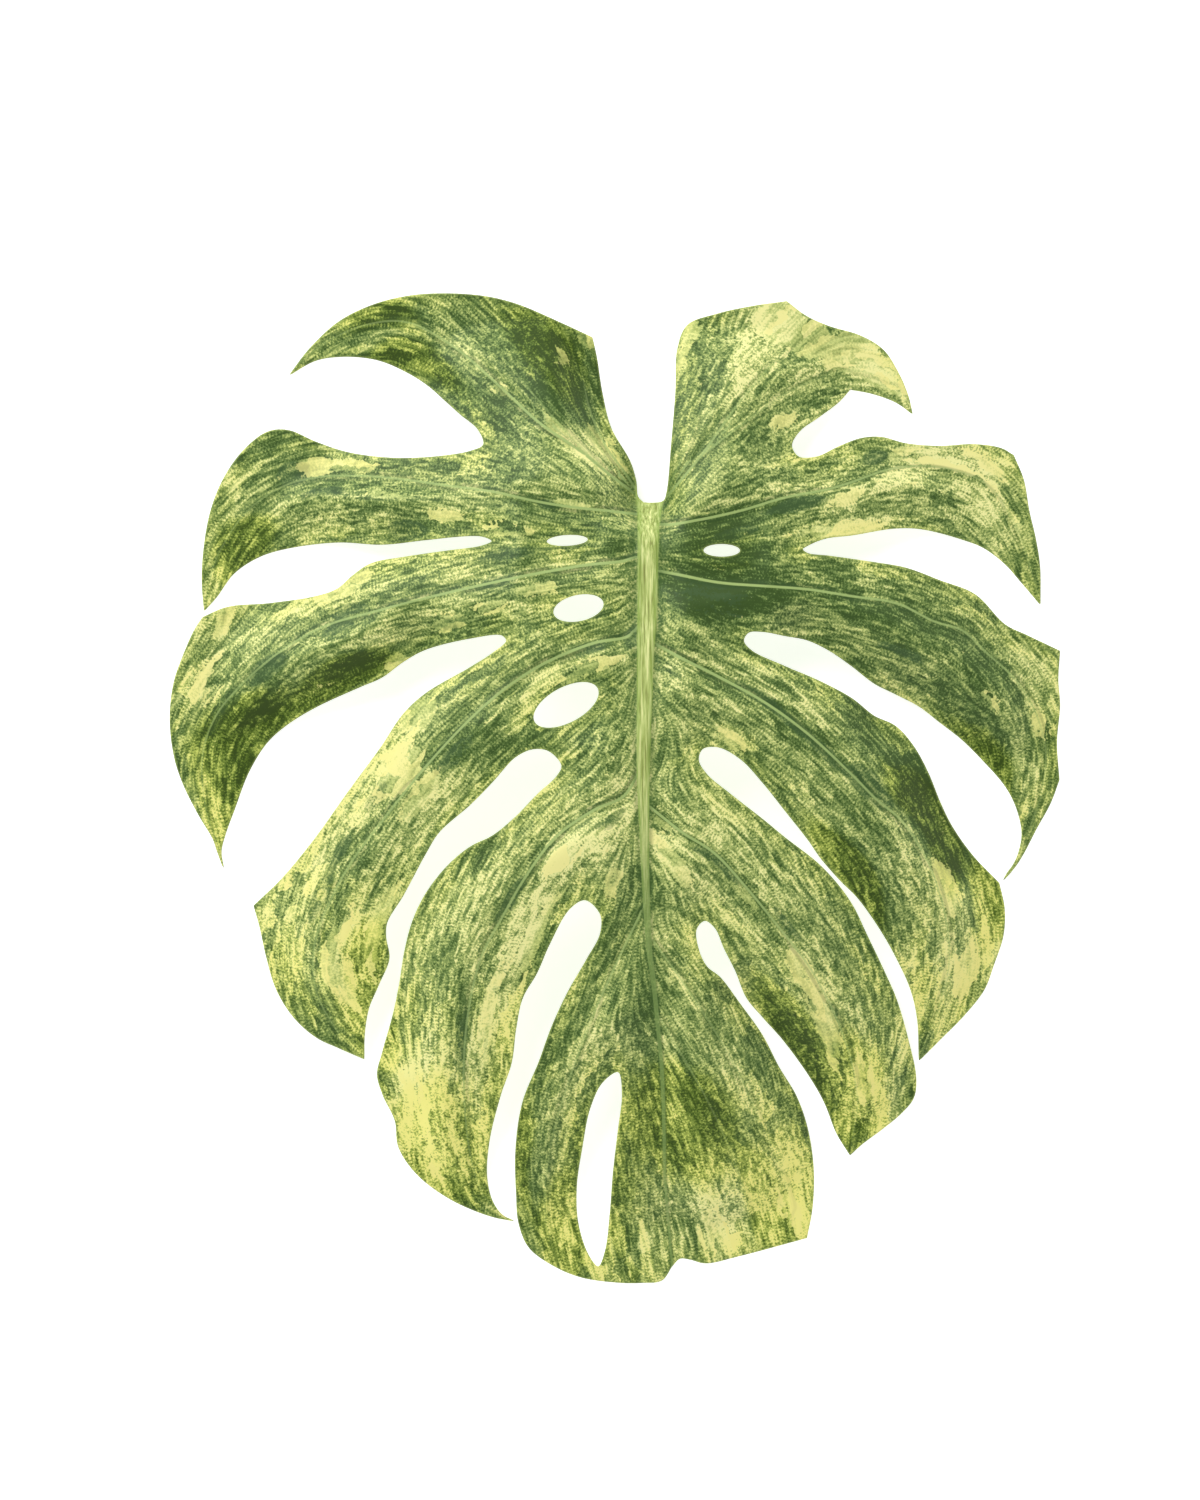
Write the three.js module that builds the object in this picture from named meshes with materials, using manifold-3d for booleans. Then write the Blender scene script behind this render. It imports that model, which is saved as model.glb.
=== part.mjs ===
// A monstera leaf, cut off where its stalk joined and lying face up: one blade with a thick midrib,
// deep bays between the lobes and a few closed holes beside the midrib.
// Millimetres, +Z up. The tip points along -Y. The outline is drawn from the point where the stalk
// joined, and the finished leaf is moved so that the middle of its box stands on the origin.
import * as THREE from "three";
import { mergeVertices } from "three/addons/utils/BufferGeometryUtils.js";
import Module from "manifold-3d";

// ---- driving dimensions ----
const BLADE = 0.9; // thickness of the blade between the veins
const CROWN = 40; // height of the blade's crown above the surface that the leaf lies on
const CROWN_AT = [-12, -118]; // where the crown is
const CROWN_RADII = [190, 218]; // half width and half length of the dome, where it meets the surface
const CROWN_POWER = 2.2; // 2 is a round dome, more has a flatter top and steeper sides
const ARCH = 5; // how much the middle of a lobe stands above its margins
const ARCH_WIDTH = 30; // how far in from the margin the arch has its full height
const VALLEY = 5; // depth of the valley that the midrib lies in
const VALLEY_WIDTH = 20; // distance from the midrib where the valley has faded
const SETTLE = 1.5; // how softly the blade comes down on to the surface
const RIB_DEPTH = 0.62; // depth of the midrib under the blade, as a share of its width
const CELL = 15; // spacing of the rows and columns that carry the curved surface
const RIB_CELL = 2.5; // spacing of the columns along the midrib
const RIB_COLUMNS = [-10, 12.5]; // where those close columns start and end
const SHEET_X = [-222, 192]; // left and right edge of the curved sheet, just outside the outline
const SHEET_Y = [-356, 100]; // the same for its lower and upper edge
const CUTTER_Z = [-15, CROWN + 15]; // bottom and top of the prism that cuts the sheet to the outline
const MARGIN_STEP = 12; // longest straight step along the margin
const HOLE_SIDES = 14; // straight sides round a closed hole

const GREEN = 0x6f8f45;

// ---- the margin, clockwise from the floor of the sinus: each row is a spline between two corners ----
const MARGIN = [
  // sinus, right side, up to the shoulder of the first right lobe
  [[-3, 0.3], [1, 0], [6, 0.8], [7.5, 5], [9.5, 26], [11.5, 50], [12.5, 70], [17, 80.5], [30, 85.5],
    [61.5, 91.2]],
  // first right lobe: top, tip, and the torn step under it
  [[61.5, 91.2], [70, 84.8], [80, 80.2], [95, 75.6], [105, 69.3], [112, 58.5], [118, 40.7]],
  [[118, 40.7], [110.8, 45.8], [100, 49.8], [90, 51.7]],
  // bay between the first and second right lobes
  [[90, 51.7], [84.7, 45.8], [75.5, 38.7], [67, 32.4], [63.3, 25.7], [66.4, 20.6], [74.9, 20.8],
    [84.7, 25.5], [95, 29.4], [104, 30], [115, 27.3], [130, 26.1], [146, 26.9], [158, 25.1], [163.5, 22]],
  // second right lobe, outer side
  [[163.5, 22], [168, 11], [170.5, -3], [175.3, -28], [175.5, -45]],
  // bay between the second and third right lobes
  [[175.5, -45], [167, -35], [159.6, -26.7], [149.8, -19.4], [140, -15.7], [122, -11.4], [109.6, -11.2],
    [90, -14.5], [78, -16.1], [70, -19.4], [67.8, -21], [70, -22.8], [80, -24], [114.5, -29.1],
    [130, -34.6], [146, -40.7], [159.6, -54.1], [170, -59.2], [184.3, -66]],
  // third right lobe, outer side and the fine thread at its tip
  [[184.3, -66], [183.5, -79], [184.3, -90], [182.9, -107], [184, -124]],
  [[184, -124], [180, -134.5], [173.7, -146], [168, -157], [164.9, -162], [159.5, -168.2]],
  // bay between the third and fourth right lobes
  [[159.5, -168.2], [163.6, -161.6], [166, -156], [167.3, -148], [165, -137], [160, -127], [150, -115.4],
    [130, -98], [110, -85.4], [100, -80.5], [80, -66.1], [70, -61.4], [50, -57.9], [43.5, -58.3],
    [41.3, -62], [45, -66.5], [60, -73.4], [75.6, -80], [90, -87.6], [100, -95.2], [110, -99.9],
    [118, -108.8], [124.6, -120.8], [135.5, -144.8], [145, -157.9], [157, -170.4]],
  // fourth right lobe, outer side
  [[157, -170.4], [159.4, -182], [158.8, -194], [150.3, -218.2], [141.5, -229.5], [121, -250]],
  // bay between the fourth and fifth right lobes, where the two lobes nearly touch
  [[121, -250], [120, -231.5], [116.9, -218.2], [110.3, -203.8], [102.6, -190.5], [92.3, -176.2],
    [85, -169], [75.8, -158.6], [70, -150.3], [60, -137.7], [50, -125.2], [39.9, -114.5], [30, -109.2],
    [23, -110], [21.2, -115], [25, -121.4], [35.3, -130], [60, -149.7], [74.3, -160.8], [84.2, -171.4],
    [96.4, -192.6], [104.6, -209.5], [110.3, -222.3], [115.9, -240.8], [119.6, -258], [118.5, -267],
    [112.8, -274], [104.6, -280.8], [90, -292.6]],
  // bay between the fifth right lobe and the end lobe
  [[90, -292.6], [84, -282.8], [78.5, -269], [71.8, -257.2], [60, -240.8], [43, -221], [32.8, -198.7],
    [28.7, -189.5], [24.1, -186.2], [20.3, -190], [21.5, -199.7], [30.8, -211.5], [49.9, -237.7],
    [57.4, -252.1], [65.6, -265.9], [70.8, -280.8], [73.5, -299], [73, -316], [70.5, -329.8]],
  // end lobe: lower margin with its notch, then up its left side, the bay, and down to the thin left tip
  [[70.5, -329.8], [60, -332.7], [40, -338], [25, -341.2], [18, -339.5], [13.5, -339.1], [10, -342.5],
    [5.4, -348.9], [-4, -350], [-31, -347.5], [-44, -342], [-54.5, -334], [-59, -323], [-60.2, -290],
    [-57, -268], [-49.6, -249.5], [-36.9, -218.5], [-28.5, -203.8], [-22.3, -192], [-22.3, -183.3],
    [-29, -177], [-36, -181], [-44.9, -196.7], [-57, -221], [-62, -250], [-67, -265], [-72, -285],
    [-73.3, -302], [-71, -313], [-66.5, -319.5], [-61.6, -322.2]],
  // fifth left lobe, outer side, the narrow bay above it and the inner side of the fourth left lobe
  [[-61.6, -322.2], [-72, -320], [-90, -312.3], [-105, -301], [-113, -289], [-114.5, -277], [-120, -265],
    [-122.3, -256], [-119.9, -246], [-112, -215], [-106, -187], [-100, -174.5], [-90, -161.8],
    [-70, -148.5], [-60, -140.3], [-50, -130], [-41.5, -122], [-39.4, -117.5], [-44.9, -111], [-52, -110],
    [-60, -113.6], [-80, -134.6], [-94, -147], [-110, -175], [-117.5, -187.5], [-118, -194],
    [-116.6, -203.5], [-126, -226.2], [-128, -238], [-128.3, -249]],
  // fourth left lobe, outer side
  [[-128.3, -249], [-140, -244.1], [-150, -239.5], [-160, -230.8], [-168, -218], [-172.5, -203],
    [-178, -180.5]],
  // bay between the third and fourth left lobes, then down to the third lobe's thread
  [[-178, -180.5], [-165, -168.2], [-150, -150.3], [-120, -109.3], [-110, -94.6], [-100, -85.4],
    [-80, -73.8], [-70, -67.4], [-64, -62], [-66, -59.5], [-80, -60.8], [-100, -65.5], [-110, -70.8],
    [-120, -78], [-150, -91.3], [-164, -99.8], [-172.5, -107.5], [-180.5, -120.5], [-187, -137.5],
    [-191, -148.5], [-192.8, -156], [-191.8, -163.5]],
  // third left lobe, outer side
  [[-191.8, -163.5], [-194.6, -156], [-196.5, -150.5], [-203, -139.5], [-210, -125.5], [-214, -113],
    [-215.8, -96], [-214, -80], [-209.5, -67], [-204.5, -56], [-201, -50.8]],
  // bay between the second and third left lobes
  [[-201, -50.8], [-190, -46.3], [-170, -44.6], [-150, -41.8], [-140, -38.5], [-132.7, -32.3],
    [-125, -27.2], [-110, -24.3], [-75, -19.6], [-70.5, -17.5], [-75, -15.3], [-100, -16.6],
    [-120, -18.4], [-140, -17.2], [-160, -19.2], [-175, -23.3], [-187, -31], [-195, -41.8],
    [-200.4, -47.8]],
  // second left lobe, outer side, the wide bay above it and the lower side of the first left lobe
  [[-200.4, -47.8], [-201.4, -35], [-200.6, -20], [-197.5, -3], [-192, 11], [-183, 24], [-172, 32.5],
    [-163, 33.3], [-150, 27.9], [-135, 23], [-115, 20.3], [-95, 20.8], [-80, 23.2], [-74.5, 26],
    [-77, 33], [-85, 40], [-92, 46.5], [-100, 53.6], [-110, 59.8], [-122, 64.8], [-136, 66.5],
    [-150, 64.8], [-162, 58.3]],
  // first left lobe: top, then down the left side of the sinus
  [[-162, 58.3], [-153, 70], [-140, 82], [-125, 89.5], [-110, 93.4], [-95, 94.7], [-75, 93.6],
    [-60, 90], [-40, 81.5], [-26, 75]],
  [[-26, 75], [-24, 66], [-21.5, 50], [-17.5, 34], [-9, 19], [-6.3, 10], [-5.5, 3], [-3, 0.3]],
];

// closed holes beside the midrib: centre, half length, half width and turn in degrees
const HOLES = [
  { at: [-37, -17.3], half: [9.3, 2.6], turn: 3 },
  { at: [-32, -47.5], half: [11.5, 6], turn: 12 },
  { at: [-37.5, -90.5], half: [16, 8], turn: 28 },
  { at: [31.7, -21.7], half: [8.3, 3], turn: 0 },
];
// the long closed slot in the end lobe, as a closed spline
const SLOT = [[-14.3, -254], [-21.4, -258.7], [-27, -270.6], [-30.6, -289], [-33, -306], [-32.4, -323],
  [-27.7, -337.6], [-23.2, -342.9], [-20, -335.5], [-17.9, -318.6], [-16.5, -300], [-14.3, -280.5],
  [-12.5, -263.6]];

// the midrib from the cut end to the end lobe: distance along -Y, centre X and width
const MIDRIB = [[-4, 0, 13], [10, -0.8, 10], [30, -1.2, 9.5], [50, -1.5, 9], [100, -3, 6.7],
  [140, -3, 4.8], [180, -1.7, 3.3], [200, -0.5, 2.6], [250, 5, 1.8], [300, 6.5, 1.4], [342, 10, 1]];

// stretches of margin that turn down: points along the stretch, how far it drops, how wide the strip is
const FOLDS = [
  { line: [[-5, 5], [-9, 19], [-17.5, 34], [-22, 50], [-26, 75]], drop: 13, reach: 22 },
  { line: [[-100, -65], [-120, -78], [-164, -99.8], [-180, -120], [-190, -147]], drop: 8, reach: 24 },
  { line: [[-110, -17], [-160, -19.2], [-195, -41]], drop: 5, reach: 20 },
  { line: [[70, -61.4], [100, -80.5], [130, -98], [160, -127], [167, -150]], drop: 8, reach: 24 },
  { line: [[105, -97], [124, -121], [136, -145], [157, -170]], drop: 7, reach: 22 },
  { line: [[43, -221], [60, -241], [72, -257], [84, -283], [90, -292]], drop: 7, reach: 20 },
  { line: [[-150, 64.8], [-122, 64.8], [-92, 46.5]], drop: 3, reach: 18 },
];

// ---- shape of the leaf ----
const smooth = (t) => {
  const c = Math.min(Math.max(t, 0), 1);
  return c * c * (3 - 2 * c);
};

const curve = (points, closed) =>
  new THREE.CatmullRomCurve3(points.map(([x, y]) => new THREE.Vector3(x, y, 0)), closed, "centripetal");

// the points of a spline, its corners and bends among them, no two further apart than MARGIN_STEP
function walk(points, closed = false) {
  const spline = curve(points, closed);
  const spans = closed ? points.length : points.length - 1;
  const out = [];
  for (let i = 0; i < spans; i += 1) {
    const [a, b] = [points[i], points[(i + 1) % points.length]];
    const steps = Math.ceil(Math.hypot(b[0] - a[0], b[1] - a[1]) / MARGIN_STEP);
    for (let k = 0; k < steps; k += 1) {
      const p = spline.getPoint((i + k / steps) / spans);
      out.push(new THREE.Vector2(p.x, p.y));
    }
  }
  return out;
}

function segmentDistance(x, y, ax, ay, bx, by) {
  const [dx, dy] = [bx - ax, by - ay];
  const t = Math.min(Math.max(((x - ax) * dx + (y - ay) * dy) / (dx * dx + dy * dy), 0), 1);
  return Math.hypot(x - ax - t * dx, y - ay - t * dy);
}

function pathDistance(x, y, line) {
  let least = Infinity;
  for (let i = 1; i < line.length; i += 1) {
    least = Math.min(least, segmentDistance(x, y, ...line[i - 1], ...line[i]));
  }
  return least;
}

const margin = MARGIN.flatMap((points) => walk(points));
const marginLine = [...margin, margin[0]].map((p) => [p.x, p.y]);

// centre and width of the midrib at a place along the leaf
function midrib(y) {
  const last = MIDRIB.length - 1;
  const along = Math.min(Math.max(-y, MIDRIB[0][0]), MIDRIB[last][0]);
  let i = 1;
  while (i < last && MIDRIB[i][0] < along) i += 1;
  const [[a, xa, wa], [b, xb, wb]] = [MIDRIB[i - 1], MIDRIB[i]];
  const t = (along - a) / (b - a);
  return { x: xa + (xb - xa) * t, width: wa + (wb - wa) * t };
}

// height of the blade's underside: a dome, less the valley of the midrib and the turned-down
// margins, with lobes that arch across, brought down softly on to the surface at height 0
function underside(x, y) {
  const dome = Math.hypot((x - CROWN_AT[0]) / CROWN_RADII[0], (y - CROWN_AT[1]) / CROWN_RADII[1]);
  let z = CROWN * (1 - dome ** CROWN_POWER);
  z -= ARCH * (1 - smooth(pathDistance(x, y, marginLine) / ARCH_WIDTH));
  z -= VALLEY * (1 - smooth(Math.abs(x - midrib(y).x) / VALLEY_WIDTH));
  for (const { line, drop, reach } of FOLDS) {
    z -= drop * (1 - smooth(pathDistance(x, y, line) / reach));
  }
  if (z >= SETTLE) return z;
  return z > -SETTLE ? (z + SETTLE) ** 2 / (4 * SETTLE) : 0;
}

// depth of the rib under the blade: a half ellipse across the midrib
function rib(x, y) {
  const { x: centre, width } = midrib(y);
  const across = (x - centre) / (width / 2);
  return Math.abs(across) < 1 ? RIB_DEPTH * width * Math.sqrt(1 - across * across) : 0;
}

const steps = (from, to, size) => {
  const count = Math.ceil((to - from) / size);
  return Array.from({ length: count + 1 }, (_, i) => from + ((to - from) * i) / count);
};

// a curved sheet as wide and long as the leaf, with the rib on its underside
function curvedSheet() {
  const columns = [...steps(SHEET_X[0], RIB_COLUMNS[0], CELL).slice(0, -1),
    ...steps(...RIB_COLUMNS, RIB_CELL), ...steps(RIB_COLUMNS[1], SHEET_X[1], CELL).slice(1)];
  const rows = steps(...SHEET_Y, CELL);
  const [nx, ny] = [columns.length, rows.length];
  const position = [];
  for (const top of [false, true]) {
    for (const y of rows) {
      for (const x of columns) {
        const under = underside(x, y);
        position.push(x, y, top ? under + BLADE : Math.max(0, under - rib(x, y)));
      }
    }
  }
  const at = (layer, i, j) => (layer * ny + j) * nx + i;
  const index = [];
  const quad = (a, b, c, d) => index.push(a, b, c, a, c, d);
  for (let j = 0; j + 1 < ny; j += 1) {
    for (let i = 0; i + 1 < nx; i += 1) {
      quad(at(1, i, j), at(1, i + 1, j), at(1, i + 1, j + 1), at(1, i, j + 1));
      quad(at(0, i, j), at(0, i, j + 1), at(0, i + 1, j + 1), at(0, i + 1, j));
    }
  }
  for (let i = 0; i + 1 < nx; i += 1) {
    quad(at(0, i, 0), at(0, i + 1, 0), at(1, i + 1, 0), at(1, i, 0));
    quad(at(0, i + 1, ny - 1), at(0, i, ny - 1), at(1, i, ny - 1), at(1, i + 1, ny - 1));
  }
  for (let j = 0; j + 1 < ny; j += 1) {
    quad(at(0, 0, j + 1), at(0, 0, j), at(1, 0, j), at(1, 0, j + 1));
    quad(at(0, nx - 1, j), at(0, nx - 1, j + 1), at(1, nx - 1, j + 1), at(1, nx - 1, j));
  }
  const sheet = new THREE.BufferGeometry();
  sheet.setAttribute("position", new THREE.Float32BufferAttribute(position, 3));
  sheet.setIndex(index);
  return sheet;
}

// the outline with its holes and slot, as a tall prism that cuts the sheet to shape
function outlinePrism() {
  const shape = new THREE.Shape(margin);
  for (const { at: [x, y], half: [a, b], turn } of HOLES) {
    const oval = new THREE.EllipseCurve(x, y, a, b, 0, 2 * Math.PI, false, THREE.MathUtils.degToRad(turn));
    shape.holes.push(new THREE.Path(oval.getPoints(HOLE_SIDES).slice(0, -1)));
  }
  shape.holes.push(new THREE.Path(walk(SLOT, true)));
  const depth = CUTTER_Z[1] - CUTTER_Z[0];
  const prism = new THREE.ExtrudeGeometry(shape, { depth, bevelEnabled: false, curveSegments: 1 });
  return prism.translate(0, 0, CUTTER_Z[0]);
}

// ---- the solid ----
const wasm = await Module();
wasm.setup();

function toSolid(geometry) {
  geometry.deleteAttribute("normal");
  geometry.deleteAttribute("uv");
  const merged = mergeVertices(geometry, 1e-4);
  return new wasm.Manifold(new wasm.Mesh({
    numProp: 3,
    vertProperties: new Float32Array(merged.attributes.position.array),
    triVerts: new Uint32Array(merged.index.array),
  }));
}

function toGeometry(solid) {
  const mesh = solid.getMesh();
  const geometry = new THREE.BufferGeometry();
  geometry.setAttribute("position", new THREE.BufferAttribute(mesh.vertProperties, 3));
  geometry.setIndex(new THREE.BufferAttribute(mesh.triVerts, 1));
  return geometry;
}

const blade = toGeometry(toSolid(curvedSheet()).intersect(toSolid(outlinePrism())));
blade.computeBoundingBox();
const middle = blade.boundingBox.getCenter(new THREE.Vector3());
blade.translate(-middle.x, -middle.y, -blade.boundingBox.min.z);
blade.computeVertexNormals();

const leaf = new THREE.Group();
leaf.name = "monstera_leaf";
const bladeMesh = new THREE.Mesh(
  blade,
  new THREE.MeshStandardMaterial({ color: GREEN, roughness: 0.5, metalness: 0, side: THREE.DoubleSide }),
);
bladeMesh.name = "leaf_blade";
leaf.add(bladeMesh);

export default leaf;
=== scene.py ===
# %% [markdown]
# # A variegated monstera leaf
#
# A cut leaf of a split-leaf houseplant, lying face up on a pale floor. It grew as one piece: a thin
# waxy blade, domed so that the tips of its lobes touch the floor, on a thick midrib that runs from
# the cut end to the tip. Side veins leave the midrib and run out along the middle of each lobe.
# The blade is dark green, flecked and streaked with yellow-green and cream along the veins.
#
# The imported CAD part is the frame. It fixes where the leaf lies and how big it is, and the detailed
# blade made here takes its place. The blade is one mesh, worked out with numpy: outline, veins,
# heights, triangles, and then the maps that its finish reads.

# %% Load the frame
import bpy
import numpy as np
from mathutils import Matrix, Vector
from mathutils.geometry import delaunay_2d_cdt


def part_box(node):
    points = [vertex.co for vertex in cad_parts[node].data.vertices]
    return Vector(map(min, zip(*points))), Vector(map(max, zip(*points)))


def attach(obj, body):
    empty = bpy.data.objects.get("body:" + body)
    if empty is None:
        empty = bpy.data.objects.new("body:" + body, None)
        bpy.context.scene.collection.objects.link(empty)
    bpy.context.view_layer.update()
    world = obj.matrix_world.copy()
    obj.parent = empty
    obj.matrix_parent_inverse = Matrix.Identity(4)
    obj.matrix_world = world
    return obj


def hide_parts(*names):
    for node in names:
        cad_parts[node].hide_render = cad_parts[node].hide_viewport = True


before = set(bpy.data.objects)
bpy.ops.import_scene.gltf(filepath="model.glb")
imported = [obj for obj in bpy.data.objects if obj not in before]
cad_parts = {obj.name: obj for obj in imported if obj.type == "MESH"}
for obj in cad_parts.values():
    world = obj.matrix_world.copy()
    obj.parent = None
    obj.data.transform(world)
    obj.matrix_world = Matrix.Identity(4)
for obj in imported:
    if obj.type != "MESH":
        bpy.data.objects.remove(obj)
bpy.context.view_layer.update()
low, high = (np.array(corner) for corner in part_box("leaf_blade"))
centre = (low + high) / 2
MM = 0.001
print("leaf box, mm:", np.round((high - low) / MM, 1))

# %% [markdown]
# ## The margin
#
# The margin runs round every lobe and into the deep bays between them. It could be one long spline,
# but a leaf has real corners: the tips of the lobes, and the steps where the margin tore as it
# unfolded. So it is a list of stretches, clockwise from the floor of the notch where the stalk was,
# each a spline between two corners. The points are millimetres from the middle of the cut end, with
# the leaf's tip pointing down.

# %% The stretches of the margin
MARGIN = [
    # notch, right side, up to the shoulder of the first right lobe
    [(-3, 0.3), (1, 0), (6, 0.8), (7.5, 5), (9.5, 26), (11.5, 50), (12.5, 70), (17, 80.5), (30, 85.5),
     (46, 89), (61.5, 91.2)],
    # first right lobe: top, tip, and the torn step under it
    [(61.5, 91.2), (70, 84.8), (80, 80.2), (95, 75.6), (105, 69.3), (112, 58.5), (116, 49), (118, 40.7)],
    [(118, 40.7), (110.8, 45.8), (100, 49.8), (90, 51.7)],
    # bay between the first and second right lobes
    [(90, 51.7), (84.7, 45.8), (75.5, 38.7), (67, 32.4), (63.3, 25.7), (66.4, 20.6), (74.9, 20.8),
     (84.7, 25.5), (95, 29.4), (104, 30), (115, 27.3), (130, 26.1), (146, 26.9), (158, 25.1), (163.5, 22)],
    # second right lobe, outer side
    [(163.5, 22), (168, 11), (170.5, -3), (173.5, -16), (175.3, -28), (175.5, -45)],
    # bay between the second and third right lobes
    [(175.5, -45), (167, -35), (159.6, -26.7), (149.8, -19.4), (140, -15.7), (122, -11.4), (109.6, -11.2),
     (90, -14.5), (78, -16.1), (70, -19.4), (67.8, -21), (70, -22.8), (80, -24), (100, -26.7),
     (114.5, -29.1), (130, -34.6), (146, -40.7), (159.6, -54.1), (170, -59.2), (184.3, -66)],
    # third right lobe, outer side and the fine thread at its tip
    [(184.3, -66), (183.5, -79), (184.3, -90), (182.9, -107), (184, -124)],
    [(184, -124), (180, -134.5), (173.7, -146), (168, -157), (164.9, -162), (161.5, -166.3), (158.9, -169)],
    # bay between the third and fourth right lobes
    [(158.9, -169), (160.6, -166), (163.8, -161.4), (166, -156), (167.3, -148), (165, -137), (160, -127),
     (150, -115.4), (140, -105.6), (130, -98), (120.8, -91), (110, -85.4), (100, -80.5), (90, -72.9),
     (80, -66.1), (70, -61.4), (60, -59.6), (50, -57.9), (43.5, -58.3), (41.3, -62), (45, -66.5),
     (60, -73.4), (75.6, -80), (90, -87.6), (100, -95.2), (110, -99.9), (118, -108.8), (124.6, -120.8),
     (130, -133.9), (135.5, -144.8), (145, -157.9), (157, -170.4)],
    # fourth right lobe, outer side
    [(157, -170.4), (159.4, -182), (158.8, -194), (154.6, -207), (150.3, -218.2), (141.5, -229.5),
     (130.3, -240.8), (121, -250)],
    # bay between the fourth and fifth right lobes, where the two lobes nearly touch
    [(121, -250), (120, -231.5), (116.9, -218.2), (110.3, -203.8), (102.6, -190.5), (92.3, -176.2),
     (85, -169), (75.8, -158.6), (70, -150.3), (60, -137.7), (50, -125.2), (39.9, -114.5), (30, -109.2),
     (23, -110), (21.2, -115), (25, -121.4), (35.3, -130), (50, -141.5), (60, -149.7), (74.3, -160.8),
     (84.2, -171.4), (90.5, -180.5), (96.4, -192.6), (104.6, -209.5), (110.3, -222.3), (115.9, -240.8),
     (119.6, -258), (118.5, -267), (112.8, -274), (104.6, -280.8), (95, -288), (90, -292.6)],
    # bay between the fifth right lobe and the end lobe
    [(90, -292.6), (84, -282.8), (78.5, -269), (71.8, -257.2), (60, -240.8), (50, -229.5), (43, -221),
     (38, -209), (32.8, -198.7), (28.7, -189.5), (24.1, -186.2), (20.3, -190), (21.5, -199.7),
     (25.1, -206.9), (30.8, -211.5), (40, -223.8), (49.9, -237.7), (57.4, -252.1), (65.6, -265.9),
     (70.8, -280.8), (73.5, -299), (73, -316), (70.5, -329.8)],
    # end lobe: lower margin with its notch, up its left side, round the bay and down to the thin left tip
    [(70.5, -329.8), (60, -332.7), (40, -338), (25, -341.2), (18, -339.5), (13.5, -339.1), (10, -342.5),
     (5.4, -348.9), (-4, -350), (-14, -349.9), (-31, -347.5), (-44, -342), (-54.5, -334), (-59, -323),
     (-60, -310), (-60.2, -290), (-57, -268), (-49.6, -249.5), (-44, -234), (-36.9, -218.5),
     (-28.5, -203.8), (-22.3, -192), (-22.3, -183.3), (-29, -177), (-36, -181), (-44.9, -196.7),
     (-50.5, -209.5), (-57, -221), (-60, -235), (-62, -250), (-67, -265), (-72, -285), (-73.3, -302),
     (-71, -313), (-66.5, -319.5), (-61.1, -322.3)],
    # fifth left lobe, outer side, the narrow bay above it and the inner side of the fourth left lobe
    [(-61.1, -322.3), (-72, -320), (-90, -312.3), (-105, -301), (-113, -289), (-114.5, -277), (-120, -265),
     (-122.3, -256), (-119.9, -246), (-115, -229), (-112, -215), (-109.5, -200), (-106, -187),
     (-100, -174.5), (-90, -161.8), (-80, -153.5), (-70, -148.5), (-60, -140.3), (-50, -130),
     (-41.5, -122), (-39.4, -117.5), (-44.9, -111), (-52, -110), (-60, -113.6), (-70, -124.4),
     (-80, -134.6), (-94, -147), (-100, -156.5), (-110, -175), (-117.5, -187.5), (-118, -194),
     (-116.6, -203.5), (-121.4, -215.4), (-126, -226.2), (-128, -238), (-128.3, -249)],
    # fourth left lobe, outer side
    [(-128.3, -249), (-140, -244.1), (-150, -239.5), (-160, -230.8), (-168, -218), (-172.5, -203),
     (-175.3, -190), (-178, -180.5)],
    # bay between the third and fourth left lobes, then down to the third lobe's thread
    [(-178, -180.5), (-165, -168.2), (-150, -150.3), (-135, -129.5), (-120, -109.3), (-110, -94.6),
     (-100, -85.4), (-80, -73.8), (-70, -67.4), (-64, -62), (-66, -59.5), (-80, -60.8), (-100, -65.5),
     (-110, -70.8), (-120, -78), (-130, -82.3), (-150, -91.3), (-164, -99.8), (-172.5, -107.5),
     (-180.5, -120.5), (-187, -137.5), (-191, -148.5), (-192.8, -156), (-191.8, -163.5)],
    # third left lobe, outer side
    [(-191.8, -163.5), (-194.6, -156), (-196.5, -150.5), (-203, -139.5), (-210, -125.5), (-214, -113),
     (-215.8, -96), (-214, -80), (-209.5, -67), (-204.5, -56), (-201, -50.8)],
    # bay between the second and third left lobes
    [(-201, -50.8), (-190, -46.3), (-170, -44.6), (-150, -41.8), (-140, -38.5), (-132.7, -32.3),
     (-125, -27.2), (-110, -24.3), (-90, -21.7), (-75, -19.6), (-70.5, -17.5), (-75, -15.3),
     (-100, -16.6), (-120, -18.4), (-140, -17.2), (-160, -19.2), (-175, -23.3), (-187, -31),
     (-195, -41.8), (-200.4, -47.8)],
    # second left lobe, outer side, the wide bay above it and the lower side of the first left lobe
    [(-200.4, -47.8), (-201.4, -35), (-200.6, -20), (-197.5, -3), (-192, 11), (-183, 24), (-172, 32.5),
     (-163, 33.3), (-150, 27.9), (-135, 23), (-115, 20.3), (-95, 20.8), (-80, 23.2), (-74.5, 26),
     (-77, 33), (-85, 40), (-92, 46.5), (-100, 53.6), (-110, 59.8), (-122, 64.8), (-136, 66.5),
     (-150, 64.8), (-162, 58.3)],
    # first left lobe: top, then down the left side of the notch
    [(-162, 58.3), (-153, 70), (-140, 82), (-125, 89.5), (-110, 93.4), (-95, 94.7), (-75, 93.6),
     (-60, 90), (-40, 81.5), (-26, 75)],
    [(-26, 75), (-24, 66), (-21.5, 50), (-17.5, 34), (-9, 19), (-6.3, 10), (-5.5, 3), (-3, 0.3)],
]
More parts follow.
